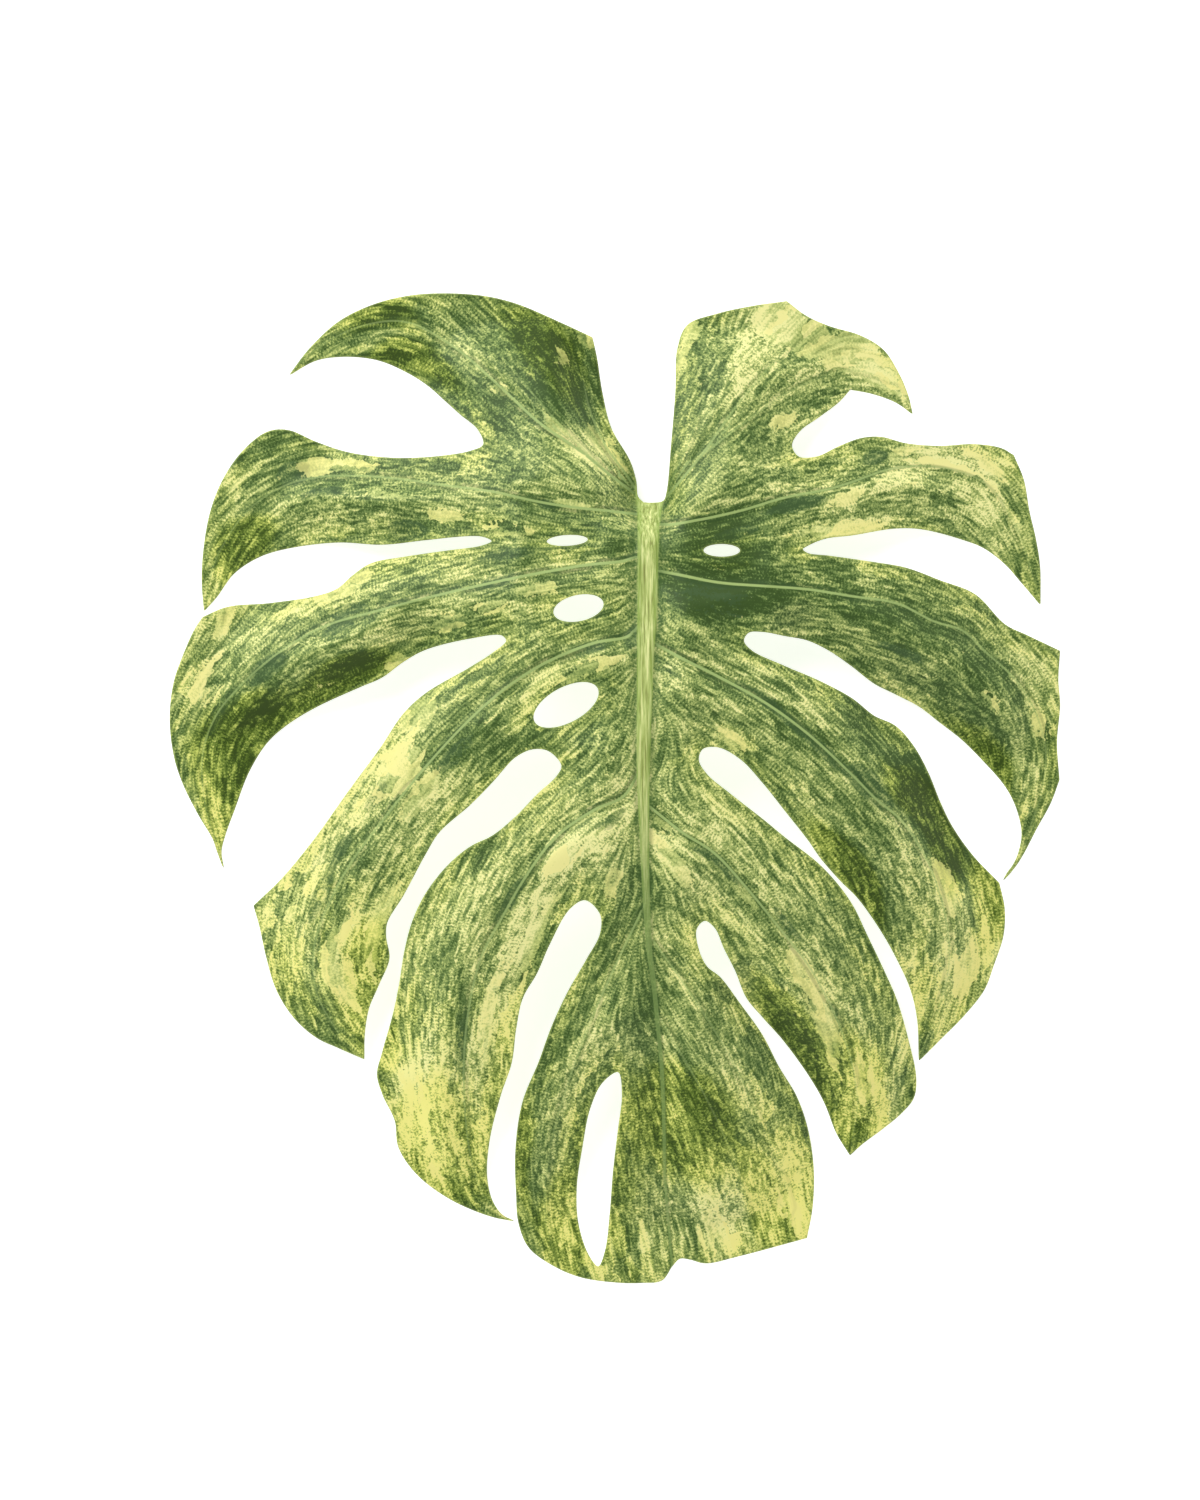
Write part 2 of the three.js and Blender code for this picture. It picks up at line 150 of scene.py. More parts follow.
# closed holes beside the midrib: centre, half length, half width, turn in degrees
HOLES = [((-37, -17.3), 9.3, 2.6, 3), ((-32, -47.5), 11.5, 6, 12), ((-37.5, -90.5), 16, 8, 28),
         ((31.7, -21.7), 8.3, 3, 0)]
# the long closed slot in the end lobe
SLOT = [(-14.3, -254), (-21.4, -258.7), (-27, -270.6), (-30.6, -289), (-33, -306), (-32.4, -323),
        (-27.7, -337.6), (-23.2, -342.9), (-20, -335.5), (-17.9, -318.6), (-16.5, -300), (-14.3, -280.5),
        (-12.5, -263.6)]
MARGIN_STEP = 1.3


def spline(points, step, closed=False):
    """Points along a smooth curve through the given ones, at most a step apart, without the last one.

    Each span is a cubic whose end tangents come from its neighbours, weighted by the square root of
    the distance between points (a centripetal Catmull-Rom curve), so it doesn't loop at sharp bends."""
    p = np.array(points, float)
    if closed:
        p = np.vstack([p[-1], p, p[0], p[1]])
    else:
        p = np.vstack([2 * p[0] - p[1], p, 2 * p[-1] - p[-2]])
    gap = np.maximum(np.linalg.norm(np.diff(p, axis=0), axis=1), 1e-6)
    count = np.ceil(gap[1:-1] / step).astype(int)
    span = np.repeat(np.arange(len(count)), count)
    t = (np.arange(len(span)) - np.repeat(np.cumsum(count) - count, count)) / count[span]
    g0, g1, g2 = (np.sqrt(gap[span + k])[:, None] for k in range(3))
    p0, p1, p2, p3 = (p[span + k] for k in range(4))
    start = ((p1 - p0) / g0 - (p2 - p0) / (g0 + g1) + (p2 - p1) / g1) * g1
    end = ((p2 - p1) / g1 - (p3 - p1) / (g1 + g2) + (p3 - p2) / g2) * g1
    t = t[:, None]
    return (p1 * (2 * t**3 - 3 * t**2 + 1) + start * (t**3 - 2 * t**2 + t)
            + p2 * (3 * t**2 - 2 * t**3) + end * (t**3 - t**2))


def ellipse(middle, half_length, half_width, turn):
    """A closed oval: half_length and half_width times cosine and sine, turned about its middle."""
    count = int(2 * np.pi * half_length / MARGIN_STEP)
    a = np.arange(count) / count * 2 * np.pi
    x, y, k = half_length * np.cos(a), half_width * np.sin(a), np.radians(turn)
    return np.column_stack([x * np.cos(k) - y * np.sin(k), x * np.sin(k) + y * np.cos(k)]) + middle


outer = np.vstack([spline(stretch, MARGIN_STEP) for stretch in MARGIN])
loops = [outer] + [ellipse(*hole) for hole in HOLES] + [spline(SLOT, MARGIN_STEP, closed=True)]
edge = np.vstack(loops)
to_frame = centre[:2] / MM - (outer.min(0) + outer.max(0)) / 2
print("margin points:", len(edge), " outline, mm:", np.round(np.ptp(outer, axis=0), 1))

# %% [markdown]
# ## The veins
#
# The midrib is thick at the cut end and tapers to a thread in the end lobe. Each side vein is a
# spline with a strength, which fades towards its tip. Besides their own ridges and furrows, the
# veins give every spot of the blade a direction: the colour is streaked along it.

# %% The midrib and the side veins
# distance from the cut end, sideways place of the midrib's middle, and its width
MIDRIB = np.array([(-4, 0, 13.5), (4, -0.3, 11), (10, -0.8, 10), (30, -1.2, 9.5), (50, -1.5, 9),
                   (70, -2.3, 7.6), (100, -3, 6.7), (120, -3.3, 6), (140, -3, 4.8), (160, -2.5, 3.8),
                   (180, -1.7, 3.3), (200, -0.5, 2.6), (215, 1.5, 2.2), (230, 3, 2), (250, 5, 1.8),
                   (270, 6, 1.6), (300, 6.5, 1.4), (325, 8.5, 1.2), (342, 10, 1)])
# side veins: strength, then points from the midrib to the tip
SIDE_VEINS = [
    # left side, from the notch down
    (1.0, [(-5, 3), (-20, 14), (-30, 22), (-50, 36), (-68, 53), (-90, 72), (-110, 82), (-130, 80),
           (-150, 70), (-160, 61)]),
    (0.8, [(-5, 4), (-10, 12), (-20, 26), (-27, 42), (-31, 62)]),
    (0.5, [(-20, 14), (-40, 34), (-60, 58), (-75, 76), (-86, 88)]),
    (0.9, [(-6, -5), (-30, -3), (-50, 0), (-70, 4.5), (-90, 7.5), (-110, 10.5), (-130, 12.5),
           (-150, 12), (-165, 8), (-180, -2), (-190, -15), (-197, -30), (-200, -45)]),
    (1.0, [(-5, -24), (-12, -26.5), (-30, -28.5), (-60, -34), (-90, -40.5), (-120, -48), (-145, -55),
           (-165, -66), (-182, -80), (-195, -95), (-201, -112), (-200, -135), (-193, -158)]),
    (1.0, [(-5, -55), (-10, -60), (-25, -63), (-45, -71), (-60, -80), (-75, -92), (-90, -107),
           (-105, -124), (-120, -143), (-133, -160), (-143, -178), (-150, -197), (-150, -217),
           (-140, -237), (-129, -248)]),
    (0.9, [(-4, -118), (-12, -131), (-25, -137), (-42, -149), (-55, -166), (-66, -185), (-75, -202),
           (-80, -221), (-83, -245), (-83, -270), (-80, -295), (-74, -312), (-63, -321)]),
    (0.6, [(-3, -180), (-15, -205), (-27, -232), (-37, -260), (-45, -290), (-47, -320), (-42, -340)]),
    # right side, from the notch down
    (0.8, [(6, 1), (22, 20), (40, 45), (58, 66), (72, 80)]),
    (0.5, [(22, 20), (45, 38), (66, 52), (90, 60), (108, 55), (117, 43)]),
    (0.4, [(6, 2), (16, 24), (26, 52), (36, 82)]),
    (0.9, [(4, -10), (10, -10), (20, -8.4), (40, -4), (60, 2), (80, 6.2), (90, 9.3), (107, 15.3),
           (122, 17.2), (134, 16), (150, 10), (162, -5), (170, -25), (175, -43)]),
    (1.0, [(4, -31), (12, -32.5), (30, -36), (50, -37.6), (70, -39), (90, -42), (110, -45), (127, -53),
           (140, -57), (150, -66), (165, -80), (174, -95), (178, -112), (176, -130), (169, -150)]),
    (1.0, [(3, -64), (14, -70), (30, -78), (50, -89), (70, -103.5), (90, -122), (100, -132),
           (111, -141), (118, -150), (126, -165), (132, -185), (134, -205), (130, -225), (122, -247)]),
    (0.9, [(0, -136), (14, -147), (28, -156), (42, -171), (56, -188), (70, -206), (82, -228),
           (90, -250), (93, -270), (90, -291)]),
    (0.5, [(1, -195), (20, -222), (38, -252), (52, -283), (62, -308), (66, -328)]),
    (0.4, [(3, -228), (15, -248), (25, -266), (36, -290), (44, -315), (48, -333)]),
]
VEIN_STEP = 2.0


def midrib_at(y):
    """Sideways place and width of the midrib at a distance along the leaf, read off its table."""
    return np.interp(-y, MIDRIB[:, 0], MIDRIB[:, 1]), np.interp(-y, MIDRIB[:, 0], MIDRIB[:, 2])


def vein_line(number, strength, points):
    """Points along a side vein: place, direction, strength fading to a fifth, length so far, number."""
    line = np.vstack([spline(points, VEIN_STEP), points[-1]])
    way = np.gradient(line, axis=0)
    way /= np.linalg.norm(way, axis=1)[:, None]
    fade = strength * np.linspace(1, 0.2, len(line))
    length = np.cumsum(np.linalg.norm(np.diff(line, axis=0, prepend=line[:1]), axis=1))
    return np.column_stack([line, way, fade, length, np.full(len(line), number)])


veins = [vein_line(number, *vein) for number, vein in enumerate(SIDE_VEINS)]
vein_points = np.vstack(veins)
print("side veins:", len(veins), " points along them:", len(vein_points))

# %% [markdown]
# ## Measuring over the blade
#
# Everything about a spot of the blade follows from a few distances: to the margin, to the midrib and
# to the nearest side vein. A search tree would find them, but with all the points in arrays the
# squared distance between every pair is one matrix product, and blocks of rows keep the memory small.


# %% Distances and directions, for whole arrays of points
def nearest(points, targets, block=4000):
    """Index of the nearest target and the distance to it, for each point."""
    index = np.empty(len(points), int)
    square = (targets**2).sum(1)
    for start in range(0, len(points), block):
        part = points[start:start + block]
        index[start:start + block] = (square - 2 * part @ targets.T).argmin(1)
    return index, np.linalg.norm(points - targets[index], axis=1)


def flow_at(points, block=4000):
    """Direction of growth: the directions of all the side veins, weighted by distance to the power -3."""
    way = np.empty((len(points), 2))
    some = vein_points[::3]
    for start in range(0, len(points), block):
        part = points[start:start + block]
        square = ((part[:, None, :] - some[None, :, :2]) ** 2).sum(2)
        way[start:start + block] = (1 / (square + 9) ** 1.5) @ some[:, 2:4]
    return way / np.linalg.norm(way, axis=1)[:, None]


def smooth(t):
    """0 up to t = 0, 1 from t = 1, and an even rise between."""
    c = np.clip(t, 0, 1)
    return c * c * (3 - 2 * c)


def bell(t):
    """1 at t = 0, falling away on both sides as a bell curve."""
    return np.exp(-t * t)


# %% [markdown]
# ## The shape of the blade
#
# A fresh leaf laid on a table stands on the tips of its lobes. It could be sculpted, but a height
# for every spot is easier to keep in step with the CAD part. The large shape is the one that part
# has: a dome, a valley along the midrib, lobes that arch across, and stretches of margin that turn
# down. On it lies what the CAD part leaves out: a furrow with a thin raised line along every side
# vein, the blade swelling between the veins, and a little waviness. Lengths are in millimetres.

# %% Heights
CROWN, CROWN_AT, CROWN_RADII, CROWN_POWER = 40, np.array([-12, -118]), np.array([190, 218]), 2.2
ARCH, ARCH_WIDTH = 5, 30
VALLEY, VALLEY_WIDTH = 5, 20
SETTLE = 1.5
THICK = 0.7
RIB_DEPTH = 0.62
FURROW, FURROW_WIDTH = 2.4, 6
WAVE = 0.5
LINE_ABOVE, LINE_WIDTH = 0.45, 0.9
RIB_BELOW, RIB_BELOW_WIDTH = 1.6, 1.3
# stretches of margin that turn down: points, how far it drops, how wide the strip is
FOLDS = [
    ([(-5, 5), (-9, 19), (-17.5, 34), (-22, 50), (-26, 75)], 13, 22),
    ([(-100, -65), (-120, -78), (-164, -99.8), (-180, -120), (-190, -147)], 8, 24),
    ([(-110, -17), (-160, -19.2), (-195, -41)], 5, 20),
    ([(70, -61.4), (100, -80.5), (130, -98), (160, -127), (167, -150)], 8, 24),
    ([(105, -97), (124, -121), (136, -145), (157, -170)], 7, 22),
    ([(43, -221), (60, -241), (72, -257), (84, -283), (90, -292)], 7, 20),
    ([(-150, 64.8), (-122, 64.8), (-92, 46.5)], 3, 18),
]


class Blade:
    """All that is measured at each point of the blade, in millimetres from the cut end."""

    def __init__(self, points):
        self.points = points
        x, y = points.T
        self.to_margin = nearest(points, edge)[1]
        rib_x, self.rib_width = midrib_at(y)
        self.across_rib = (x - rib_x) / (self.rib_width / 2)
        self.to_rib = np.abs(x - rib_x)
        index, self.to_vein = nearest(points, vein_points[:, :2])
        spot = vein_points[index]
        by_vein = np.sort(np.column_stack([nearest(points, vein[:, :2])[1] for vein in veins]), axis=1)
        self.from_seam = by_vein[:, 1] - by_vein[:, 0]
        self.vein_strength = spot[:, 4]
        away = points - spot[:, :2]
        self.vein_side = spot[:, 2] * away[:, 1] - spot[:, 3] * away[:, 0]
        self.along_vein = spot[:, 5] + (spot[:, 2:4] * away).sum(1)
        self.vein_number = spot[:, 6]
        self.flow = flow_at(points)

    def large_shape(self):
        """The dome, less the arch towards the margins, the valley and the turned-down strips."""
        dome = np.linalg.norm((self.points - CROWN_AT) / CROWN_RADII, axis=1)
        z = CROWN * (1 - dome**CROWN_POWER)
        z -= ARCH * (1 - smooth(self.to_margin / ARCH_WIDTH))
        z -= VALLEY * (1 - smooth(self.to_rib / VALLEY_WIDTH))
        for line, drop, reach in FOLDS:
            along = np.vstack([spline(line, 2), line[-1]])
            z -= drop * (1 - smooth(nearest(self.points, along)[1] / reach))
        return z

    def furrows(self):
        """A broad furrow along each side vein, and slow waves over the whole blade."""
        x, y = self.points.T
        z = -FURROW * self.vein_strength * bell(self.to_vein / FURROW_WIDTH)
        z += WAVE * np.sin(x / 23 + np.sin(y / 31)) * np.sin(y / 19 + 0.7 * np.sin(x / 27))
        return z * smooth(self.to_margin / 10) * smooth((self.to_rib - 3) / 8)

    def underside(self):
        """Height of the blade's lower face, brought down softly on to the floor at height 0."""
        z = self.large_shape() + self.furrows()
        soft = (z + SETTLE) ** 2 / (4 * SETTLE)
        return np.where(z >= SETTLE, z, np.where(z > -SETTLE, soft, 0))

    def ridges_above(self):
        """The rounded top of the midrib between two small grooves, and a thin line on each side vein."""
        round_top = 0.09 * self.rib_width * np.sqrt(np.clip(1 - self.across_rib**2, 0, 1))
        groove = 0.35 * bell((np.abs(self.across_rib) - 1.15) / 0.25) * smooth(self.rib_width / 5)
        line = LINE_ABOVE * self.vein_strength * bell(self.to_vein / LINE_WIDTH)
        return round_top - groove + line * smooth((np.abs(self.across_rib) - 0.9) / 0.6)

    def ribs_below(self):
        """Depth of the midrib, a half ellipse across, and of the side veins, a bell across."""
        rib = RIB_DEPTH * self.rib_width * np.sqrt(np.clip(1 - self.across_rib**2, 0, 1))
        return np.maximum(rib, RIB_BELOW * self.vein_strength * bell(self.to_vein / RIB_BELOW_WIDTH))


# %% [markdown]
# ## The mesh
#
# A grid trimmed to the margin would have a saw-tooth edge, so the blade is a triangulation: the
# margin's points in order, a row just inside it, rows along every vein so that the ridges stay
# clean, and a triangular lattice everywhere else. The upper and lower faces share it, and two strips
# of quads round the margin over from one to the other.

# %% Points of the blade
LATTICE = 1.9
ROW_GAP = 1.2
INSET = 0.55
RIM_SWELL = 0.3


def lattice():
    """A triangular lattice over the leaf's box: every other row is moved half a step sideways."""
    (x0, y0), (x1, y1) = outer.min(0), outer.max(0)
    columns = np.arange(x0, x1, LATTICE)
    rows = np.arange(y0, y1, LATTICE * np.sqrt(3) / 2)
    x, y = np.meshgrid(columns, rows)
    x[1::2] += LATTICE / 2
    return np.column_stack([x.ravel(), y.ravel()])


def inside(points, block=2000):
    """True where a ray to the right crosses the loops of the margin an odd number of times."""
    a = edge
    b = np.vstack([np.roll(loop, -1, axis=0) for loop in loops])
    result = np.empty(len(points), bool)
    for start in range(0, len(points), block):
        x, y = points[start:start + block, :1], points[start:start + block, 1:]
        spans = (a[:, 1] > y) != (b[:, 1] > y)
        slope = (b[:, 0] - a[:, 0]) / np.where(a[:, 1] == b[:, 1], 1, b[:, 1] - a[:, 1])
        crossing = spans & (x < a[:, 0] + (y - a[:, 1]) * slope)
        result[start:start + block] = crossing.sum(1) % 2 == 1
    return result


def inset_row(loop):
    """The loop moved a little to its right and to its left. inside() keeps the inner of the two."""
    way = np.roll(loop, -1, axis=0) - np.roll(loop, 1, axis=0)
    way /= np.maximum(np.linalg.norm(way, axis=1), 1e-6)[:, None]
    side = np.column_stack([way[:, 1], -way[:, 0]]) * INSET
    return np.vstack([loop + side, loop - side])


def vein_rows():
    """Three rows of points along each side vein, and rows along the midrib at shares of its width."""
    rows = []
    for vein in veins:
        side = np.column_stack([-vein[:, 3], vein[:, 2]])
        rows += [vein[:, :2] + side * offset for offset in (-ROW_GAP, 0, ROW_GAP)]
    y = -np.arange(0.8, 340, 1.8)
    x, width = midrib_at(y)
    for share in (-1.35, -1, -0.75, -0.4, 0, 0.4, 0.75, 1, 1.35):
        keep = (width > 2.4) | (share in (-1, 0, 1))
        rows.append(np.column_stack([x + share * width / 2, y])[keep])
    return np.vstack(rows)


def clear_of(points, others, gap):
    """The points that are at least a gap away from all the others."""
    return points[nearest(points, others)[1] >= gap]


def thinned(points, gap):
    """One point from each square cell of a grid whose cells are as wide as the gap."""
    cell = np.round(points / gap).astype(int)
    return points[np.unique(cell, axis=0, return_index=True)[1]]


row = np.vstack([inset_row(loop) for loop in loops])
row = thinned(clear_of(row[inside(row)], edge, INSET * 0.85), 0.7)
ribs = vein_rows()
ribs = thinned(clear_of(ribs[inside(ribs)], np.vstack([edge, row]), 0.7), 0.8)
field = lattice()
field = field[inside(field)]
field = clear_of(clear_of(field, ribs, ROW_GAP), np.vstack([edge, row]), 1.1)
flat_points = np.vstack([edge, row, ribs, field])
print("points:", len(edge), "margin,", len(row), "inset,", len(ribs), "veins,", len(field), "field")


# %% Triangles of the blade
def triangulate(points):
    """Delaunay triangles that keep to the margin. Those between the lobes and in holes are dropped."""
    starts = np.cumsum([0] + [len(loop) for loop in loops])
    ring = [np.column_stack([np.arange(a, b), np.roll(np.arange(a, b), -1)])
            for a, b in zip(starts, starts[1:])]
    found = delaunay_2d_cdt(points.tolist(), np.vstack(ring).tolist(), [], 0, 1e-6)
    xy = np.array(found[0])
    tri = np.array(found[2])
    return xy, tri[inside(xy[tri].mean(1))]


xy, tri = triangulate(flat_points)
corner = xy[tri]
turn = np.cross(corner[:, 1] - corner[:, 0], corner[:, 2] - corner[:, 0])
tri[turn < 0] = tri[turn < 0][:, ::-1]
used = np.unique(tri)
renumber = np.zeros(len(xy), int)
renumber[used] = np.arange(len(used))
xy, tri = xy[used], renumber[tri]
print("vertices:", len(xy), " triangles:", len(tri))


# %% The closed shell
def rim_edges(triangles, count):
    """The directed edges that only one triangle has, as two columns of vertex numbers."""
    pairs = np.vstack([triangles[:, [0, 1]], triangles[:, [1, 2]], triangles[:, [2, 0]]])
    key, back = pairs[:, 0] * count + pairs[:, 1], pairs[:, 1] * count + pairs[:, 0]
    return pairs[~np.isin(key, back)]


blade = Blade(xy)
under = blade.underside()
upper = under + THICK + blade.ridges_above()
lower = np.maximum(under - blade.ribs_below(), 0)
n = len(xy)
rim = rim_edges(tri, n)
rim = rim[np.argsort(rim[:, 0])]
print("blade, mm: highest", round(upper.max(), 1), " thickest", round((upper - lower).max(), 1))

# %% The rim, half way up the edge and a little outside it
rim_number = np.full(n, -1)
rim_number[rim[:, 0]] = np.arange(len(rim))
before = np.empty(len(rim), int)
before[rim_number[rim[:, 1]]] = rim[:, 0]
along = xy[rim[:, 1]] - xy[before]
along /= np.linalg.norm(along, axis=1)[:, None]
outwards = np.column_stack([along[:, 1], -along[:, 0]])
middle_xy = xy[rim[:, 0]] + outwards * THICK * RIM_SWELL
middle_z = upper[rim[:, 0]] - THICK / 2
print("rim points:", len(rim))

# %% Points and faces of the shell
place = np.vstack([np.column_stack([xy, upper]), np.column_stack([xy, lower]),
                   np.column_stack([middle_xy, middle_z])])
place[:, :2] += to_frame
place *= MM
a, b = rim[:, 0], rim[:, 1]
ma, mb = 2 * n + rim_number[a], 2 * n + rim_number[b]
quads = np.vstack([np.column_stack([b, a, ma, mb]), np.column_stack([mb, ma, a + n, b + n])])
faces = tri.tolist() + (tri[:, ::-1] + n).tolist() + quads.tolist()

mesh = bpy.data.meshes.new("leaf_skin")
mesh.from_pydata(place, [], faces)
mesh.polygons.foreach_set("use_smooth", np.ones(len(faces), bool))
mesh.update()
skin = bpy.data.objects.new("leaf_skin", mesh)
bpy.context.scene.collection.objects.link(skin)
print("faces:", len(faces), " triangles:", 2 * len(tri) + 2 * len(quads))

# %% [markdown]
# ## What the finish needs to know
#
# The material can't measure distances to veins, so the mesh carries them: the direction of growth,
# the distance to the nearest side vein and to the margin, and the place across the midrib. Where the
# large pale and dark areas lie could be painted as an image, but a few dozen long soft brush strokes
# along the growth say the same and stay sharp. Cream and deep strokes become crisp patches that have
# lost their green or kept all of it. Tone is a broad change of lightness, up or down; where it darkens
# the strips of margin that turn down, it is painted shade. Olive is where the green turns warmer.

# %% Brush strokes
# x, y, half length along the growth, half width, amount
CREAM = [
    (58, 82, 10, 12, 1.5), (72, 74, 9, 8, 1.2), (90, 68, 12, 9, 1.4), (107, 58, 12, 7, 1.2),
    (19, 79, 8, 6, 0.7), (14, 66, 10, 3, 0.6), (25, 55, 5, 3.5, 0.5), (60, 37, 7, 4, 0.5),
    (147, 18, 20, 6, 0.5), (117, 22, 13, 5, 0.7), (84, -12, 20, 4, 0.8), (87, 2, 9, 3.5, 0.5),
    (8, -158, 15, 3.4, 1.3), (-28, 75, 5, 4, 1.0), (-33, 25, 19, 2.6, 1.4), (-22, 25, 12, 2.2, 1.4),
    (-15.5, 22, 9, 1.6, 1.2), (-80, 82, 13, 5, 0.5), (-137, 17, 17, 3.4, 0.8), (-152, 19, 7, 4, 0.7),
    (-115, 4, 12, 3.5, 0.7), (-92, -6, 10, 3, 0.6), (-62, -13, 12, 3, 0.6), (-192, -53, 9, 3.5, 0.7),
    (-198, -78, 15, 8, 0.4), (-89, -54, 10, 3.5, 0.8), (-113, -71, 6, 3.5, 1.0),
    (-140, -40, 11, 4, 0.8), (-132, -33, 8, 4, 0.8), (-103, -95, 10, 6, 1.1), (-112, -119, 14, 8, 1.1),
    (-103, -132, 14, 5, 0.9), (-143, -203, 26, 4, 0.8), (-136, -215, 14, 5, 0.6),
    (-123, -190, 26, 4, 0.9), (-160, -178, 12, 5, 0.6), (-39, -159, 11, 4.5, 1.0),
    (-52, -193, 24, 4.5, 0.8), (-73, -230, 30, 3.5, 0.8), (-108, -262, 14, 5, 0.7),
    (-97, -292, 12, 6, 0.6), (-17, -169, 8, 4, 0.6), (-27, -74, 17, 3.5, 0.8), (35, -107, 10, 4, 0.6),
    (44, -177, 8, 3.5, 0.8), (67, -207, 10, 5, 0.7), (78, -232, 20, 4.5, 1.0), (96, -258, 12, 4, 0.7),
    (30, -327, 13, 9, 0.6), (63, -318, 12, 5, 0.7), (-36, -1, 9, 2, 1.0), (-50, -39, 11, 3.5, 0.8),
    (-72, -47, 8, 3, 0.7), (133, -172, 14, 3.5, 0.9), (142, -208, 16, 6, 0.6), (152, -88, 6, 3, 0.6),
    (176, -100, 8, 4, 0.5), (4, -143, 8, 3, 0.7), (-66, 50, 6, 3, 0.6), (-40, 66, 5, 3, 0.5),
]
DEEP = [
    (-108, -12, 10, 5, 1.0), (-46, -1, 5, 2.4, 0.9), (-161, 14, 8, 6, 0.8), (-45, 70, 16, 10, 0.5),
    (-132, -73, 16, 6, 0.9), (-172, -74, 12, 5, 0.9), (-140, -56, 9, 3, 0.7), (65, -1, 16, 3.5, 1.0),
    (101, 21, 7, 4, 0.8), (98, -127, 14, 6, 1.0), (38, -14, 12, 3, 0.7), (112, -66, 12, 3, 0.6),
    (26, -44, 20, 9, 0.43), (20, -272, 16, 6, 0.6), (42, -292, 16, 5, 0.6), (-60, -23, 18, 3, 0.7),
    (-148, -176, 14, 3.5, 0.9), (-138, -155, 10, 3, 0.8), (-121, -130, 10, 3, 0.7),
    (-68, -36, 9, 2.4, 0.8), (-135, -48, 10, 3, 0.8), (50, -88, 24, 3, 0.7), (75, -109, 20, 3, 0.6),
    (-30, -66, 16, 3, 0.6), (-86, -112, 14, 4, 0.6), (-62, -176, 14, 3, 0.7), (-84, -240, 22, 3, 0.7),
    (-92, -205, 12, 3, 0.6), (62, -190, 12, 3, 0.7), (86, -236, 18, 3, 0.6), (-18, -142, 10, 3, 0.6),
    (30, -160, 16, 3, 0.7), (-146, 6, 12, 3, 0.6),
]
# broad lightness: the blade's own tone, and painted shade where the margin turns down
TONE_AND_SHADE = [
    # darker: first left lobe, third and fourth right lobes, then painted shade on the strips of margin that
    # turn down
    (-42, 58, 30, 17, -0.9), (-20, 52, 28, 5, -0.5), (-105, 68, 30, 7, -0.6), (-122, 85, 12, 6, -0.4),
    (-75, 42, 20, 12, -0.4), (30, -30, 28, 22, -1.0), (75, -46, 42, 13, -0.45),
    (128, -62, 40, 20, -0.35), (150, -104, 36, 12, -0.6), (80, -76, 34, 7, -0.4),
    (108, -110, 26, 10, -0.6), (131, -142, 30, 12, -1.3), (98, -172, 36, 8, -0.65),
    (68, -252, 40, 8, -0.75), (-135, -78, 24, 10, -0.9), (-186, -106, 30, 16, -0.8),
    (-165, -88, 18, 9, -0.6), (-180, -20, 16, 10, -0.5), (-158, 12, 12, 7, -0.3),
    (15, -272, 28, 18, -0.35), (-78, -108, 24, 8, -0.4), (-12, -20, 12, 8, -0.4),
    (-45, -10, 26, 8, -0.4), (-8, -215, 20, 12, -0.3), (40, -5, 28, 6, -0.6), (-82, -58, 26, 7, -0.45),
    (28, -44, 26, 12, -0.7),
    # lighter: first and second right lobes, and the outer parts of the lower lobes
    (55, 80, 42, 12, 0.8), (102, 60, 18, 10, 0.6), (12.5, 60, 24, 4, 0.5), (135, 16, 34, 10, 0.7),
    (152, -8, 22, 10, 0.55), (92, -10, 24, 5, 0.5), (-132, -130, 52, 12, 0.8),
    (-162, -190, 30, 14, 0.6), (-134, -205, 34, 10, 0.7), (-38, -156, 16, 8, 0.6),
    (-62, -200, 38, 9, 0.7), (-78, -255, 30, 8, 0.6), (-100, -272, 34, 16, 1.1),
    (-112, -215, 26, 6, 0.5), (68, -308, 30, 8, 0.8), (30, -328, 34, 8, 0.8), (0, -342, 22, 7, 0.4),
    (142, -202, 36, 16, 0.7), (118, -228, 26, 6, 0.5), (93, -245, 34, 9, 0.6), (72, -205, 18, 7, 0.5),
    (106, -272, 18, 8, 0.5), (-208, -76, 26, 8, 0.2), (-202, -52, 10, 5, 0.6), (-150, -45, 30, 6, 0.5),
    (-140, -28, 30, 6, 0.3), (6, -152, 18, 7, 0.4), (22, -114, 22, 7, 0.3), (38, -136, 22, 9, 0.3),
    (-100, 12, 32, 7, 0.3), (-30, -150, 14, 9, 0.4), (-45, -75, 22, 7, 0.3), (176, -78, 18, 9, 0.3),
    (-190, 4, 12, 12, 0.2), (45, -310, 30, 16, 0.6), (-12, -140, 24, 6, 0.6), (118, -185, 22, 7, 0.3),
    (45, -325, 18, 12, 0.4), (38, -150, 26, 9, 0.3), (-100, -140, 26, 8, 0.5), (62, -296, 30, 9, 0.5),
    (-55, -185, 24, 7, 0.45), (-27, 22, 16, 6, 0.7),
]
